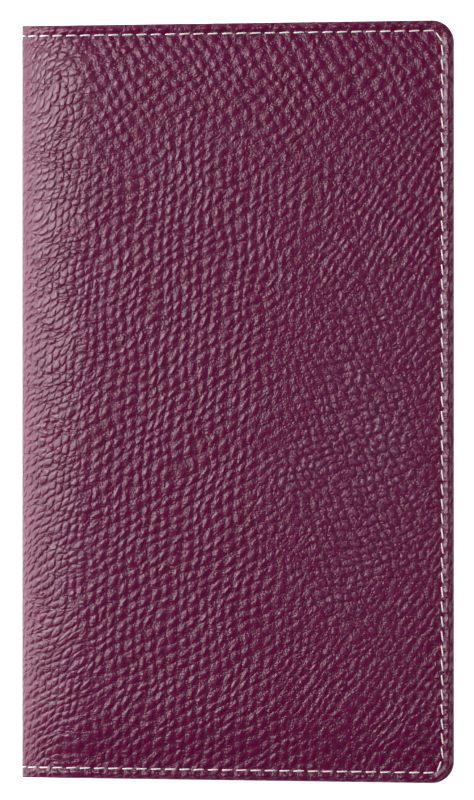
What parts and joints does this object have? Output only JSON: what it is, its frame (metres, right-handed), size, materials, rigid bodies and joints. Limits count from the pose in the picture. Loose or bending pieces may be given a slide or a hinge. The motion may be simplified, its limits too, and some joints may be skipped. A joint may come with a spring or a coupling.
{
  "type": "folding calendar",
  "caption": "Pocket calendar: a padded leather cover, sewn round its edge, that opens flat and fans out a concertina strip of card panels held in two inside pockets.",
  "frame": {"origin": "under the middle of the closed calendar, on the surface that its back cover lies on", "axes": "+Z from the back cover to the front cover, +Y from tail to head, +X from the spine to the fore-edge"},
  "size_m": [0.0922, 0.16, 0.0121],
  "materials": {
    "leather": "satin",
    "lining": "matte",
    "foam": "matte",
    "board": "matte",
    "thread": "matte",
    "card": "matte"
  },
  "bodies": {
    "back_cover": {"back_leather": "leather", "back_padding": "foam", "back_board": "board", "back_lining": "lining", "back_pocket": "leather", "back_thread": "thread", "panel_14": "card"},
    "spine": {"spine_leather": "leather", "spine_lining": "lining", "spine_thread_head": "thread", "spine_thread_tail": "thread"},
    "front_cover": {"front_leather": "leather", "front_padding": "foam", "front_board": "board", "front_lining": "lining", "front_pocket": "leather", "front_thread": "thread", "panel_01": "card"},
    "strip_13": {"panel_13": "card"},
    "strip_12": {"panel_12": "card"},
    "strip_11": {"panel_11": "card"},
    "strip_10": {"panel_10": "card"},
    "strip_09": {"panel_09": "card"},
    "strip_08": {"panel_08": "card"},
    "strip_07": {"panel_07": "card"},
    "strip_06": {"panel_06": "card"},
    "strip_05": {"panel_05": "card"},
    "strip_04": {"panel_04": "card"},
    "strip_03": {"panel_03": "card"},
    "strip_02": {"panel_02": "card"}
  },
  "joints": [
    {"name": "spine_fold", "type": "hinge", "parent": "back_cover", "child": "spine", "pos_m": [-0.04474, 0, 0.0024], "axis": [0, -1, 0], "range_deg": [0, 90]},
    {"name": "front_fold", "type": "hinge", "parent": "spine", "child": "front_cover", "pos_m": [-0.04474, 0, 0.0097], "axis": [0, -1, 0], "range_deg": [0, 90]},
    {"name": "fold_14_13", "type": "hinge", "parent": "back_cover", "child": "strip_13", "pos_m": [-0.0405, 0, 0.00395], "axis": [0, -1, 0], "range_deg": [0, 27.48]},
    {"name": "fold_13_12", "type": "hinge", "parent": "strip_13", "child": "strip_12", "pos_m": [0.04045, 0, 0.00455], "axis": [0, 1, 0], "range_deg": [0, 2.06]},
    {"name": "fold_12_11", "type": "hinge", "parent": "strip_12", "child": "strip_11", "pos_m": [-0.0405, 0, 0.00485], "axis": [0, -1, 0], "range_deg": [0, 27.48]},
    {"name": "fold_11_10", "type": "hinge", "parent": "strip_11", "child": "strip_10", "pos_m": [0.04045, 0, 0.00515], "axis": [0, 1, 0], "range_deg": [0, 2.06]},
    {"name": "fold_10_09", "type": "hinge", "parent": "strip_10", "child": "strip_09", "pos_m": [-0.0405, 0, 0.00545], "axis": [0, -1, 0], "range_deg": [0, 27.48]},
    {"name": "fold_09_08", "type": "hinge", "parent": "strip_09", "child": "strip_08", "pos_m": [0.04045, 0, 0.00575], "axis": [0, 1, 0], "range_deg": [0, 2.06]},
    {"name": "fold_08_07", "type": "hinge", "parent": "strip_08", "child": "strip_07", "pos_m": [-0.0405, 0, 0.00605], "axis": [0, -1, 0], "range_deg": [0, 27.48]},
    {"name": "fold_07_06", "type": "hinge", "parent": "strip_07", "child": "strip_06", "pos_m": [0.04045, 0, 0.00635], "axis": [0, 1, 0], "range_deg": [0, 2.06]},
    {"name": "fold_06_05", "type": "hinge", "parent": "strip_06", "child": "strip_05", "pos_m": [-0.0405, 0, 0.00665], "axis": [0, -1, 0], "range_deg": [0, 27.48]},
    {"name": "fold_05_04", "type": "hinge", "parent": "strip_05", "child": "strip_04", "pos_m": [0.04045, 0, 0.00695], "axis": [0, 1, 0], "range_deg": [0, 2.06]},
    {"name": "fold_04_03", "type": "hinge", "parent": "strip_04", "child": "strip_03", "pos_m": [-0.0405, 0, 0.00725], "axis": [0, -1, 0], "range_deg": [0, 27.48]},
    {"name": "fold_03_02", "type": "hinge", "parent": "strip_03", "child": "strip_02", "pos_m": [0.04045, 0, 0.00755], "axis": [0, 1, 0], "range_deg": [0, 2.06]}
  ],
  "couplings": [
    {"joint": "front_fold", "follows": "spine_fold", "ratio": 1},
    {"joint": "fold_14_13", "follows": "spine_fold", "ratio": 0.30533},
    {"joint": "fold_13_12", "follows": "spine_fold", "ratio": 0.022889},
    {"joint": "fold_12_11", "follows": "spine_fold", "ratio": 0.30533},
    {"joint": "fold_11_10", "follows": "spine_fold", "ratio": 0.022889},
    {"joint": "fold_10_09", "follows": "spine_fold", "ratio": 0.30533},
    {"joint": "fold_09_08", "follows": "spine_fold", "ratio": 0.022889},
    {"joint": "fold_08_07", "follows": "spine_fold", "ratio": 0.30533},
    {"joint": "fold_07_06", "follows": "spine_fold", "ratio": 0.022889},
    {"joint": "fold_06_05", "follows": "spine_fold", "ratio": 0.30533},
    {"joint": "fold_05_04", "follows": "spine_fold", "ratio": 0.022889},
    {"joint": "fold_04_03", "follows": "spine_fold", "ratio": 0.30533},
    {"joint": "fold_03_02", "follows": "spine_fold", "ratio": 0.022889}
  ]
}
